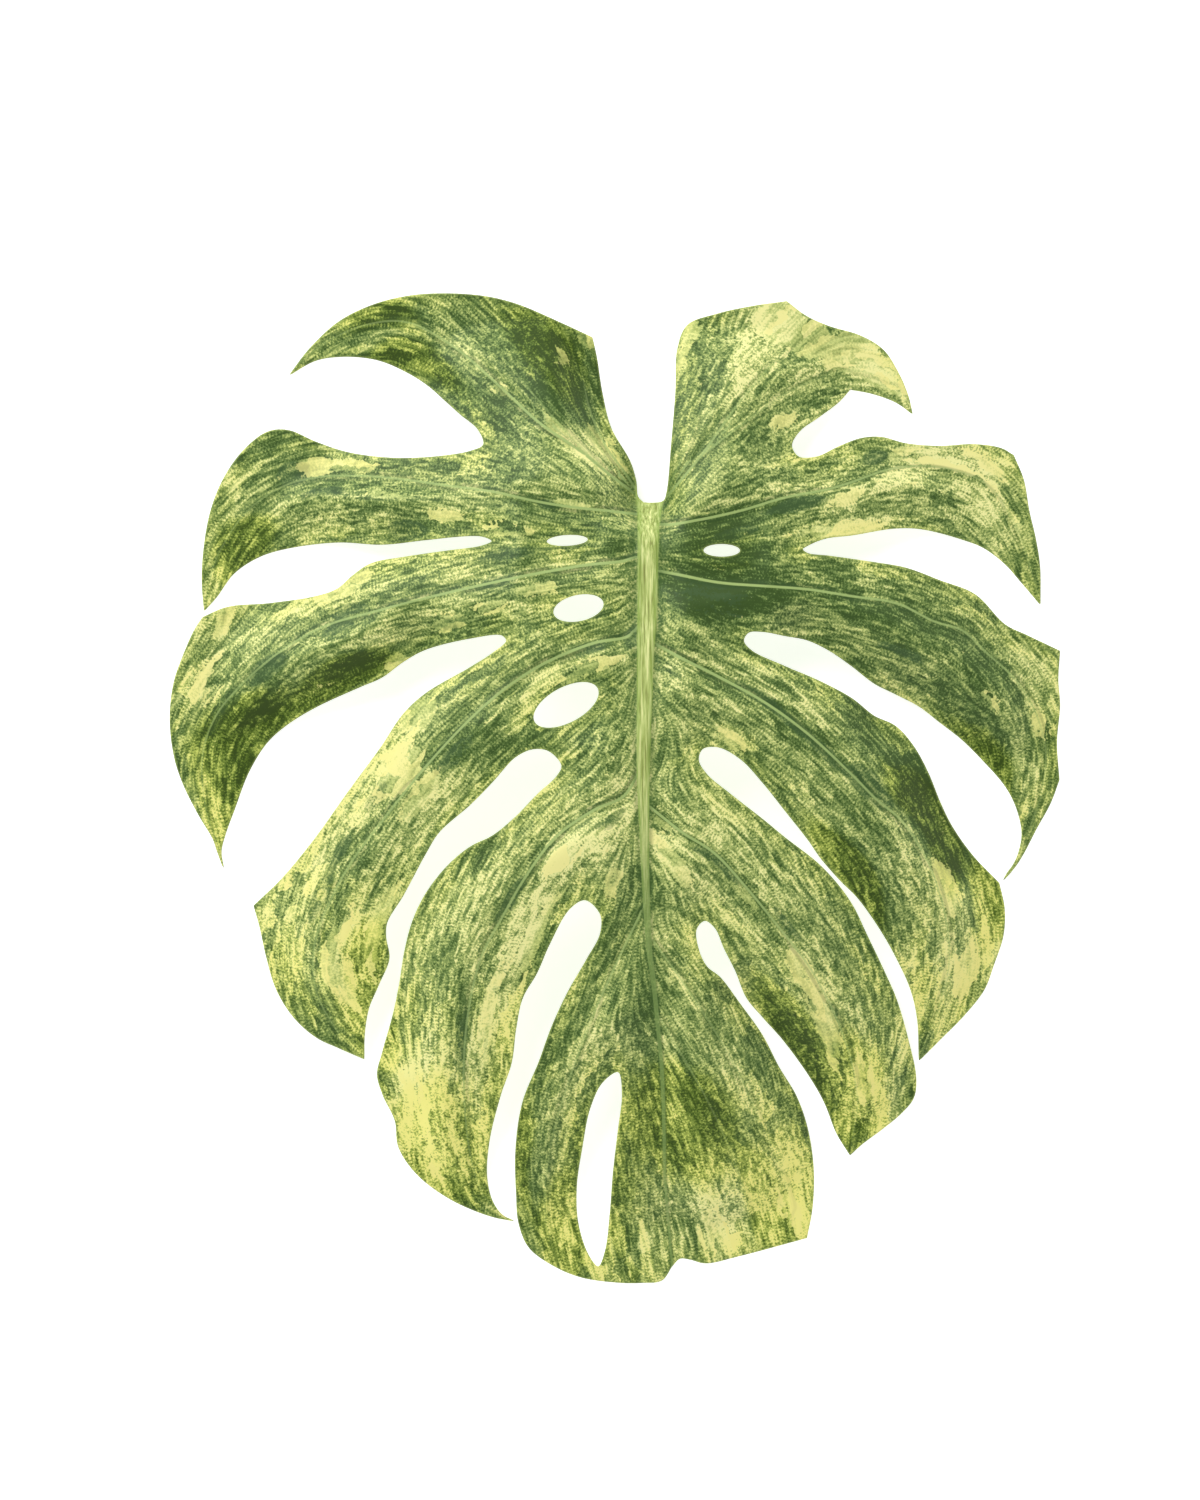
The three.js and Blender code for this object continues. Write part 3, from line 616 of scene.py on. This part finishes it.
OLIVE = [
    (-45, 66, 28, 13, 0.7), (-105, 68, 24, 8, 0.6), (-120, 86, 20, 7, 0.6), (-184, -18, 18, 10, 0.9),
    (-140, -77, 26, 8, 0.9), (-188, -110, 36, 18, 1.0), (-191, -140, 22, 8, 1.0),
    (126, -140, 34, 8, 1.0), (152, -178, 20, 8, 0.7), (155, -122, 28, 8, 0.7), (92, -166, 30, 8, 0.9),
    (70, -250, 42, 9, 1.0), (15, -276, 30, 22, 0.9), (50, -310, 24, 8, 0.7), (-128, -205, 20, 9, 0.6),
    (-122, -238, 16, 8, 0.7), (-95, -285, 30, 16, 0.6), (-40, -325, 24, 12, 0.6),
    (-60, -295, 24, 6, 0.6), (96, -262, 28, 12, 0.6), (-150, -200, 44, 20, 0.4),
    (62, -305, 34, 12, 0.3), (135, -200, 40, 18, 0.3), (45, -300, 50, 30, 0.3),
    (-90, -265, 60, 30, 0.3), (-20, -300, 50, 24, 0.3), (85, -235, 60, 20, 0.25),
    (60, 60, 45, 30, -0.4), (130, 10, 46, 18, -0.4), (80, -48, 60, 16, -0.4), (50, -88, 44, 12, -0.5),
]


def painted(strokes):
    """The sum of the strokes at each point. A stroke is a soft-edged oval that lies along the growth."""
    result = np.zeros(n)
    for x, y, half_length, half_width, amount in strokes:
        away = xy - (x, y)
        along = (away * blade.flow).sum(1) / half_length
        across = (away[:, 1] * blade.flow[:, 0] - away[:, 0] * blade.flow[:, 1]) / half_width
        result += amount * (1 - smooth((np.hypot(along, across) - 0.55) / 0.8))
    return result


def carry(name, values, kind="FLOAT"):
    """Stores a value per point on the mesh: the same above and below, and on the rim."""
    full = np.concatenate([values, values, values[rim[:, 0]]])
    attribute = mesh.attributes.new(name, kind, "POINT")
    attribute.data.foreach_set("vector" if kind == "FLOAT_VECTOR" else "value", full.ravel())


carry("flow", np.column_stack([blade.flow, np.zeros(n)]), "FLOAT_VECTOR")
carry("cream", painted(CREAM))
carry("deep", painted(DEEP))
# the broad tone, with the painted shade of the turned-down strips of margin
carry("tone", painted(TONE_AND_SHADE))
carry("olive", painted(OLIVE))
# far enough apart that no cell of the pattern spans two veins
VEIN_APART = 9
growth = np.column_stack([blade.vein_side, blade.along_vein, VEIN_APART * blade.vein_number])
carry("growth", growth, "FLOAT_VECTOR")
carry("vein", np.sign(blade.vein_side) * blade.to_vein)
carry("to_vein", blade.to_vein)
carry("vein_strength", blade.vein_strength)
carry("rib", blade.across_rib)
carry("margin", blade.to_margin)
carry("seam", blade.from_seam)
facing = np.concatenate([np.ones(n), np.zeros(n), np.full(len(rim), 0.5)])
mesh.attributes.new("upper", "FLOAT", "POINT").data.foreach_set("value", facing)
print("maps:", [attribute.name for attribute in mesh.attributes])

# %% [markdown]
# ## Writing shader maths
#
# A material is a graph of nodes, and long sums are hard to read as nodes. Here a small class wraps a
# socket, so that Python arithmetic on it adds the Math nodes. Every other node comes from one method
# that takes the node's kind, its settings, and what goes into its sockets.

# %% Colours
def colour(red, green, blue):
    """A colour given in the 0 to 255 steps of a screen, as the linear light that Blender works in."""
    c = np.array([red, green, blue]) / 255
    linear = np.where(c <= 0.04045, c / 12.92, ((c + 0.055) / 1.055) ** 2.4)
    return (*linear, 1)


# %% A material as Python expressions
class Wire:
    """A number on its way through a material. Arithmetic on it adds Math nodes."""

    def __init__(self, net, socket):
        self.net, self.socket = net, socket

    def maths(self, operation, *values):
        return self.net.node("ShaderNodeMath", {"operation": operation}, *values)

    def __add__(self, other):
        return self.maths("ADD", self, other)

    def __sub__(self, other):
        return self.maths("SUBTRACT", self, other)

    def __rsub__(self, other):
        return self.maths("SUBTRACT", other, self)

    def __mul__(self, other):
        return self.maths("MULTIPLY", self, other)

    def __abs__(self):
        return self.maths("ABSOLUTE", self)

    __radd__, __rmul__ = __add__, __mul__

    def step(self, start, end):
        """0 up to start and 1 from end, with an even rise between; start may be the larger one."""
        return self.net.node("ShaderNodeMapRange", {"interpolation_type": "SMOOTHSTEP"},
                             self, start, end, 0, 1)


class Net:
    """A new material. All its nodes come from one method, node()."""

    def __init__(self, name):
        self.material = bpy.data.materials.new(name)
        self.material.use_nodes = True
        self.nodes, self.links = self.material.node_tree.nodes, self.material.node_tree.links
        self.shader = self.nodes["Principled BSDF"]

    def node(self, kind, settings, *inputs, out=0, **named):
        """Adds a node: its settings, then its sockets in order or by name. Returns one output."""
        made = self.nodes.new(kind)
        for key, value in settings.items():
            if key == "stops":
                self.set_stops(made.color_ramp.elements, value)
            else:
                setattr(made, key, value)
        for key, value in [*enumerate(inputs), *named.items()]:
            self.plug(made.inputs[key], value)
        return Wire(self, made.outputs[out])

    def set_stops(self, elements, stops):
        """Gives a ramp its places and colours. A new ramp has two elements already."""
        for _ in stops[2:]:
            elements.new(0.5)
        for element, (position, tint) in zip(elements, stops):
            element.position, element.color = position, colour(*tint)

    def plug(self, socket, value):
        """Links a wire to a socket, or sets the socket to a constant. None leaves it as it is."""
        if isinstance(value, Wire):
            self.links.new(value.socket, socket)
        elif value is not None:
            socket.default_value = value

    def map(self, name, out="Fac"):
        return self.node("ShaderNodeAttribute", {"attribute_name": name}, out=out)

    def ramp(self, factor, stops):
        """A colour read off a ramp of places and colours."""
        return self.node("ShaderNodeValToRGB", {"stops": stops}, factor)

    def mix(self, factor, a, b):
        """A colour between a and b. A Mix node's colour sockets come after five for other kinds."""
        between = [None] * 5
        return self.node("ShaderNodeMix", {"data_type": "RGBA"}, factor, *between, a, b, out=2)

    def vector(self, operation, a, b=None, scale=None):
        """Vector Math: b is the second vector, scale the number that a SCALE node takes."""
        return self.node("ShaderNodeVectorMath", {"operation": operation}, a, b, None, scale)

    def finish(self, **sockets):
        """Plugs values into the shader's sockets by name, with _ for a space."""
        for name, value in sockets.items():
            self.plug(self.shader.inputs[name.replace("_", " ")], value)
        return self.material


# %% [markdown]
# ## The finish of the leaf
#
# A variegated leaf is a patchwork: cells of green and of pale tissue were pulled out along the veins
# as the leaf grew. So the blade has long cells of differing lightness with ragged ends, shorter ones
# inside them, and flecks of two sizes all over. The cells live in growth coordinates, across and
# along the nearest vein. The flecks must turn smoothly with the veins, so their noise is smeared:
# read at a few places along the direction of growth and averaged. A fleck is either pale or green,
# with little between, so the noise is cut at a level that depends on how pale the spot is. All of it
# adds up to one map of lightness, which two ramps of greens, a cool and a warm one, turn into colour.
# An image could hold all this for one view, but the pattern has no seams and is as fine up close.

# %% Colours and sizes of the pattern
COOL = [(0.0, (58, 82, 34)), (0.2, (80, 106, 50)), (0.4, (108, 132, 70)), (0.6, (142, 160, 88)),
        (0.78, (182, 194, 114)), (0.92, (214, 219, 142)), (1.0, (236, 234, 160))]
WARM = [(0.0, (52, 72, 16)), (0.2, (78, 100, 30)), (0.4, (106, 128, 50)), (0.6, (140, 157, 68)),
        (0.78, (182, 194, 92)), (0.92, (214, 218, 114)), (1.0, (236, 232, 134))]
DEEP_GREEN = (70, 98, 66)
CREAM_TINT = (234, 226, 140)
# grain sizes of the noises, and width and length of the cells, in mm
FLECK, SPECK, STROKE, RAGGED = 1.9, 1.1, 3.0, 5.0
LARGE_CELL, SMALL_CELL = (11, 42), (4.5, 17)
RAGGED_BY = (7, 20, 0)


# %% Noise that follows the growth
def smear(net, spot, flow, size, reach, count, detail, seed):
    """Noise of a grain size, averaged over count places within reach either way along the growth."""
    grains = []
    for offset in np.linspace(-reach, reach, count):
        moved = net.vector("ADD", spot, net.vector("SCALE", flow, scale=float(offset * MM)))
        moved = net.vector("ADD", moved, (seed, 0, 0))
        grains.append(net.node("ShaderNodeTexNoise", {}, Vector=moved, Scale=1 / (size * MM),
                               Detail=detail, Roughness=0.62))
    return sum(grains[1:], grains[0]) * (1 / count) - 0.5


def cells(net, growth, width, length):
    """A random number per long cell, from -0.5 to 0.5: Voronoi cells in stretched coordinates."""
    place = net.vector("MULTIPLY", growth, (1 / width, 1 / length, 1))
    tint = net.node("ShaderNodeTexVoronoi", {}, Vector=place, Scale=1, Randomness=1, out="Color")
    return net.node("ShaderNodeSeparateXYZ", {}, tint) - 0.5


# %% The blade between the veins
def blade_colour(net, spot, growth):
    """Colour of the blade, with the flecks and the relief that belong to it."""
    flow = net.map("flow", "Vector")
    flecks = smear(net, spot, flow, FLECK, reach=2.6, count=4, detail=2, seed=3)
    specks = smear(net, spot, flow, SPECK, reach=1.4, count=3, detail=3, seed=17)
    strokes = smear(net, spot, flow, STROKE, reach=5.5, count=5, detail=3, seed=9) * 1.6

    # cells with ragged borders, which fade where the territories of two veins meet
    rough = net.node("ShaderNodeTexNoise", {}, Vector=spot, Scale=1 / (RAGGED * MM), Detail=2,
                     out="Color")
    rough = net.vector("MULTIPLY", net.vector("SUBTRACT", rough, (0.5, 0.5, 0.5)), RAGGED_BY)
    ragged = net.vector("ADD", growth, rough)
    clear = net.map("seam").step(2.5, 6)
    large = cells(net, ragged, *LARGE_CELL) * clear
    small = cells(net, ragged, *SMALL_CELL) * clear

    # crisp patches of cream and of green, then how pale the spot is as a whole
    patch = (net.map("cream") + strokes * 1.8 + small * 0.5 + specks).step(0.4, 0.48)
    dark = (net.map("deep") + strokes * 1.6 + small * 0.4 + specks).step(0.42, 0.5)
    # the broad tone map brings in the painted shade of the turned-down strips of margin
    share = net.map("tone") * 0.36 + large * 0.22 + small * 0.34 + strokes * 0.9 + 0.56
    share = share + patch * 0.26 - dark * 0.2

    # the cut of the flecks at that level, and the lightness that comes of it
    fleck = (flecks * 9 + (share - 0.5) * 0.8).step(-0.6, 0.6) - 0.5
    speck = (specks * 10 + (share - 0.5) * 0.5).step(-0.6, 0.6) - 0.5
    light = share * 0.68 + (fleck * 0.45 + speck * 0.4) * (1 - patch * 0.55) + 0.12

    warm = net.map("olive") + net.map("margin").step(22, 0) * 0.4 + strokes * 0.6 + small * 0.3
    warm = warm.step(0.1, 0.9)
    skin = net.mix(warm, net.ramp(light, COOL), net.ramp(light, WARM))
    skin = net.mix(dark * (1 - warm) * 0.3, skin, colour(*DEEP_GREEN))
    skin = net.mix(patch * (small + strokes).step(-0.15, 0.4) * 0.45, skin, colour(*CREAM_TINT))
    return skin, flecks, specks * 0.3 + flecks * 0.5 + strokes * 0.7


# %% [markdown]
# ### Veins in the finish
#
# A side vein shows as a thin pale line with a dark furrow along it. The furrow is a shadow in the
# fold beside the vein, and which side it lies on changes every few centimetres. The midrib is a
# bundle of fibres: pale ones and brownish ones lie side by side, and it is greener along its edges.
# Towards the leaf's tip it sinks into the blade and turns nearly as green as the blade is. The
# grooves along both sides of it are darkened with painted shade.

# %% Side veins
# the dark green painted as shadow in the fold beside a vein, and the vein's own pale green
FURROW_SHADOW_GREEN, VEIN_GREEN = (54, 80, 38), (160, 182, 110)
# how far the painted furrow shadow keeps to one side of a vein, and how far off the vein it lies, in mm
SIDE_LENGTH, FURROW_SHADOW_AT = 40, 1.5


def add_side_veins(net, skin, growth):
    """The furrow's shadow is painted as a dark band at a set distance from the vein, on the side that a
    slow noise picks.
    """
    vein = net.map("vein")
    strength = net.map("vein_strength") * net.map("to_vein").step(6, 4)
    place = net.vector("MULTIPLY", growth, (0, 1 / SIDE_LENGTH, 1))
    picked = net.node("ShaderNodeTexNoise", {}, Vector=place, Scale=1, Detail=0).step(0.47, 0.53)
    side = picked * (2 * FURROW_SHADOW_AT) - FURROW_SHADOW_AT
    # where the painted shadow of the furrow lies
    furrow = abs(vein - side).step(1.2, 0.4) * strength
    line = (abs(vein) - strength * 0.35).step(0.5, 0.05)
    # painted shadow in the fold beside the vein
    skin = net.mix(furrow * 0.7, skin, colour(*FURROW_SHADOW_GREEN))
    return net.mix(line * strength.step(0, 0.9), skin, colour(*VEIN_GREEN))


# %% Midrib
FIBRES = [(0.0, (132, 140, 74)), (0.3, (162, 178, 96)), (0.55, (184, 198, 118)), (1.0, (226, 230, 158))]
FIBRE_WIDTH = 0.8
# green of the midrib's edges, dark green of painted shade in the grooves beside it, and green of the sunk
# midrib
RIB_EDGE, RIB_GROOVE_SHADE, RIB_SUNK = (126, 158, 64), (64, 94, 44), (118, 144, 78)
# where the midrib starts to lose its pale colour and where it has lost it, along the frame's Y
FADE_FROM, FADE_TO = to_frame[1] - 105, to_frame[1] - 220


def add_midrib(net, skin, spot):
    """Fibres are noise stretched along the leaf. The map rib is 0 in the middle and 1 at the edge."""
    rib = net.map("rib")
    stretched = net.vector("MULTIPLY", spot, (1, 0.035, 0.3))
    fibres = net.node("ShaderNodeTexNoise", {}, Vector=stretched, Scale=1 / (FIBRE_WIDTH * MM), Detail=3,
                      Roughness=0.7)
    tint = net.ramp((fibres - 0.5) * 3.6 + 0.5, FIBRES)
    tint = net.mix(abs(rib).step(0.3, 1.0) * 0.65, tint, colour(*RIB_EDGE))
    pale = net.node("ShaderNodeSeparateXYZ", {}, spot, out="Y").step(FADE_TO * MM, FADE_FROM * MM)
    tint = net.mix(pale, colour(*RIB_SUNK), tint)
    on_rib = abs(rib).step(1.12, 0.85)
    skin = net.mix(on_rib * (pale * 0.2 + 0.8), skin, tint)
    # painted shade in the grooves along both sides of the midrib
    groove = abs(rib).step(2.2, 1.1) * (1 - on_rib)
    return net.mix(groove * 0.5, skin, colour(*RIB_GROOVE_SHADE)), on_rib * fibres * 0.6


# %% The whole finish
MARGIN_GREEN, UNDER_GREEN = (170, 186, 104), (150, 168, 112)


def leaf_finish():
    """Flecked blade, veins, a thin pale margin, and an underside that is paler and less marked."""
    net = Net("variegated_leaf")
    spot = net.node("ShaderNodeTexCoord", {}, out="Object")
    growth, upper = net.map("growth", "Vector"), net.map("upper")
    skin, flecks, relief = blade_colour(net, spot, growth)
    skin = add_side_veins(net, skin, growth)
    skin, ribbing = add_midrib(net, skin, spot)
    skin = net.mix(net.map("margin").step(0.7, 0.15) * 0.3, skin, colour(*MARGIN_GREEN))
    below = net.mix(0.45, skin, colour(*UNDER_GREEN))
    skin = net.mix(upper.step(0.4, 0.6), below, skin)
    gloss = 0.5 + flecks * 0.3 + (1 - upper) * 0.15
    bump = net.node("ShaderNodeBump", {}, Strength=0.6, Distance=0.6 * MM, Height=relief + ribbing)
    net.finish(Base_Color=skin, Roughness=gloss, Normal=bump, Specular_IOR_Level=0.2)
    print("nodes in the leaf's material:", len(net.nodes))
    return net.material


mesh.materials.append(leaf_finish())
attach(skin, "root")
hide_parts("leaf_blade")
print("the blade rides on the root body, in place of the CAD node leaf_blade")

# %% [markdown]
# ## The studio
#
# A flat floor shows a horizon when the leaf is looked at from low down. A sweep doesn't: the floor is
# flat under the leaf and turns up into a wall all round. It glows a little, which keeps the leaf's
# shadow light. A large soft light stands beyond the top left of the leaf and a weaker one below it.


# %% Floor
def plain_finish(name, tint, roughness, glow):
    """One matt colour with a faint mottle, so that the floor isn't a flat fill."""
    net = Net(name)
    spot = net.node("ShaderNodeTexCoord", {}, out="Object")
    mottle = net.node("ShaderNodeTexNoise", {}, Vector=spot, Scale=9, Detail=4)
    darker = tuple(0.97 * part for part in tint[:3]) + (1,)
    return net.finish(Base_Color=net.mix(mottle, tint, darker), Roughness=roughness,
                      Emission_Color=(1, 1, 1, 1), Emission_Strength=glow)


# sizes in metres
FLAT_RADIUS = 3.2
BEND = 1.0
WALL = 3.0
FLOOR_HALF = 4.5
FLOOR_ROWS = 91
FLOOR_GREY = 0.7
GLOW = 0.75


def sweep():
    """A square grid whose height rises with the square of the distance past the flat middle."""
    line = np.linspace(-FLOOR_HALF, FLOOR_HALF, FLOOR_ROWS)
    x, y = (part.ravel() for part in np.meshgrid(line, line))
    rise = np.clip((np.hypot(x, y) - FLAT_RADIUS) / BEND, 0, 1) ** 2 * WALL
    corner = (np.arange(FLOOR_ROWS - 1)[:, None] * FLOOR_ROWS + np.arange(FLOOR_ROWS - 1)).ravel()
    squares = np.column_stack([corner, corner + 1, corner + FLOOR_ROWS + 1, corner + FLOOR_ROWS])
    return np.column_stack([x, y, rise]), squares


places, squares = sweep()
floor_mesh = bpy.data.meshes.new("floor")
floor_mesh.from_pydata(places, [], squares.tolist())
floor_mesh.polygons.foreach_set("use_smooth", np.ones(len(squares), bool))
floor_tint = (FLOOR_GREY, FLOOR_GREY, FLOOR_GREY, 1)
floor_mesh.materials.append(plain_finish("pale_floor", floor_tint, roughness=0.9, glow=GLOW))
floor = bpy.data.objects.new("floor", floor_mesh)
bpy.context.scene.collection.objects.link(floor)
print("floor faces:", len(squares))


# %% Lights
def area_light(name, place, aim, size, power):
    """A square soft light at a place, turned to face the aim."""
    light = bpy.data.lights.new(name, "AREA")
    light.size, light.energy = size, power
    lamp = bpy.data.objects.new(name, light)
    lamp.location = place
    lamp.rotation_euler = (Vector(aim) - Vector(place)).to_track_quat("-Z", "Y").to_euler()
    bpy.context.scene.collection.objects.link(lamp)


area_light("window", (-1.0, 1.3, 1.5), (0, 0, 0), size=1.2, power=35)
area_light("fill", (0.8, -1.6, 1.9), (0, 0, 0), size=1.6, power=7)
SURROUND = 0.15
world = bpy.data.worlds.new("surround")
world.use_nodes = True
background = world.node_tree.nodes["Background"].inputs
background["Color"].default_value = (1, 1, 1, 1)
background["Strength"].default_value = SURROUND
bpy.context.scene.world = world
bpy.context.scene.view_settings.view_transform = "Standard"
print("lights:", len(bpy.data.lights))

# %% [markdown]
# ## The camera
#
# It looks straight down through a long lens, so the leaf is seen in its true outline. The lens
# follows from what should fit in the picture: its sensor is to the lens as the length in view is to
# the distance.

# %% Camera
CAMERA_HEIGHT = 2.4
VIEW_LENGTH = 0.669
FRAMING = Vector((-0.0067, 0.0172, 0))
SENSOR = 36.0
lens = bpy.data.cameras.new("camera")
lens.sensor_width = SENSOR
lens.lens = SENSOR * (CAMERA_HEIGHT - high[2] / 2) / VIEW_LENGTH
camera = bpy.data.objects.new("camera", lens)
camera.location = Vector((centre[0], centre[1], CAMERA_HEIGHT)) + FRAMING
bpy.context.scene.collection.objects.link(camera)
bpy.context.scene.camera = camera
print("lens, mm:", round(lens.lens, 1))
